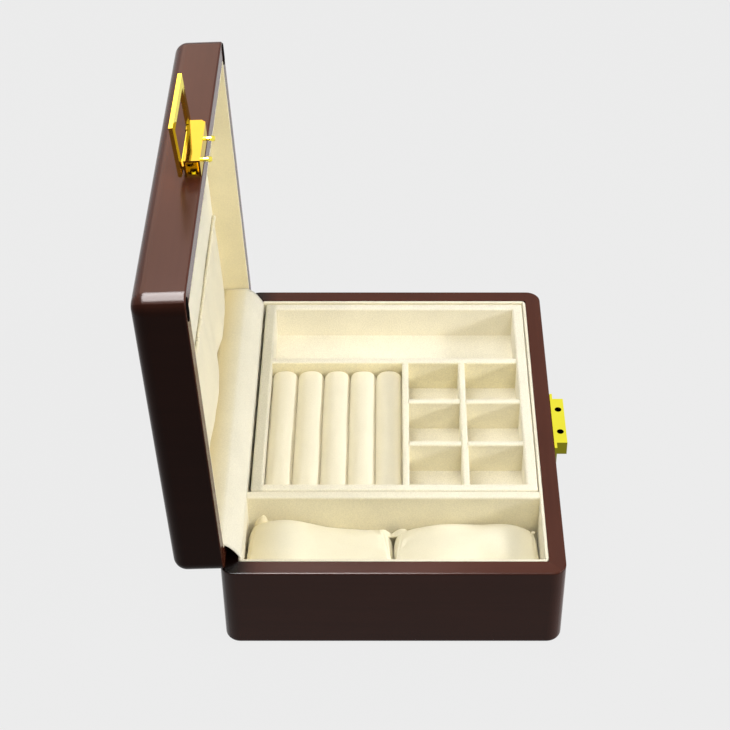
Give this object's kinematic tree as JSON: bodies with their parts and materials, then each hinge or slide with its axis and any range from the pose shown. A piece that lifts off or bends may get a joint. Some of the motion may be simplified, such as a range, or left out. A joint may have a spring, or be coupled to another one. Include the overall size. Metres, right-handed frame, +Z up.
{
  "type": "jewellery box with lift-out tray",
  "caption": "Lidded lacquered jewellery box, shown open, with a lift-out ring tray, a bay of small pillows and a gold box lock with a swinging flap.",
  "frame": {"origin": "centre of the underside, on the surface that the box stands on", "axes": "+Z up, -Y towards the front with the lock, +Y towards the hinges, +X to the right of someone facing the front; at rest the lid is open on its stop"},
  "size_m": [0.262, 0.2417, 0.2964],
  "materials": {
    "lacquered_wood": "gloss lacquer over stained wood",
    "felt": "matte felt",
    "suede": "matte suede cloth over board",
    "panel_cloth": "matte suede cloth over thin padding",
    "pillow_cloth": "soft cloth over filling",
    "roll_cloth": "soft cloth over foam",
    "elastic": "matte",
    "buffer_rubber": "matte",
    "gold": "polished gold plating",
    "hinge_brass": "satin",
    "screw_steel": "satin"
  },
  "bodies": {
    "base": {"base_back_board": "lacquered_wood", "base_bottom_board": "lacquered_wood", "base_felt": "felt", "base_floor_lining": "suede", "base_front_board": "lacquered_wood", "base_left_board": "lacquered_wood", "base_right_board": "lacquered_wood", "base_wall_lining": "suede", "bay_partition": "suede", "catch_block": "gold", "catch_screws": "gold", "hinge_base_screws": "screw_steel", "hinge_gusset": "suede", "hinge_left_base_leaf": "hinge_brass", "hinge_left_pin": "screw_steel", "hinge_right_base_leaf": "hinge_brass", "hinge_right_pin": "screw_steel", "tray_ledge_back": "suede", "tray_ledge_front": "suede"},
    "lid": {"clasp_base_plate": "gold", "clasp_cover": "gold", "clasp_hinge_rod": "gold", "clasp_pins": "gold", "clasp_screws": "gold", "hinge_left_lid_leaf": "hinge_brass", "hinge_lid_screws": "screw_steel", "hinge_right_lid_leaf": "hinge_brass", "lid_back_board": "lacquered_wood", "lid_buffer_left": "buffer_rubber", "lid_buffer_right": "buffer_rubber", "lid_front_board": "lacquered_wood", "lid_left_board": "lacquered_wood", "lid_panel": "panel_cloth", "lid_pocket": "panel_cloth", "lid_right_board": "lacquered_wood", "lid_top_board": "lacquered_wood", "lid_wall_lining": "suede", "pocket_elastic": "elastic"},
    "flap": {"clasp_flap": "gold"},
    "tray": {"ring_roll_1": "roll_cloth", "ring_roll_2": "roll_cloth", "ring_roll_3": "roll_cloth", "ring_roll_4": "roll_cloth", "ring_roll_5": "roll_cloth", "tray_column_divider": "suede", "tray_floor": "suede", "tray_frame": "suede", "tray_inner_cross_divider_1": "suede", "tray_inner_cross_divider_2": "suede", "tray_long_divider": "suede", "tray_outer_cross_divider_1": "suede", "tray_outer_cross_divider_2": "suede", "tray_roll_divider": "suede"},
    "pillow_back": {"pillow_back": "pillow_cloth"},
    "pillow_front": {"pillow_front": "pillow_cloth"}
  },
  "joints": [
    {"name": "lid_hinge", "type": "hinge", "parent": "base", "child": "lid", "pos_m": [0, 0.0981, 0.0623], "axis": [-1, 0, 0], "range_deg": [-92.25, 0], "deforming": ["hinge_gusset"]},
    {"name": "flap_hinge", "type": "hinge", "parent": "lid", "child": "flap", "pos_m": [0, 0.11601, 0.26585], "axis": [-1, 0, 0], "range_deg": [-93, 0]},
    {"name": "tray_lift", "type": "slide", "parent": "base", "child": "tray", "axis": [0, 0, 1], "range_m": [0, 0.06]},
    {"name": "pillow_back_lift", "type": "slide", "parent": "base", "child": "pillow_back", "axis": [0, 0, 1], "range_m": [0, 0.06]},
    {"name": "pillow_front_lift", "type": "slide", "parent": "base", "child": "pillow_front", "axis": [0, 0, 1], "range_m": [0, 0.06]}
  ]
}
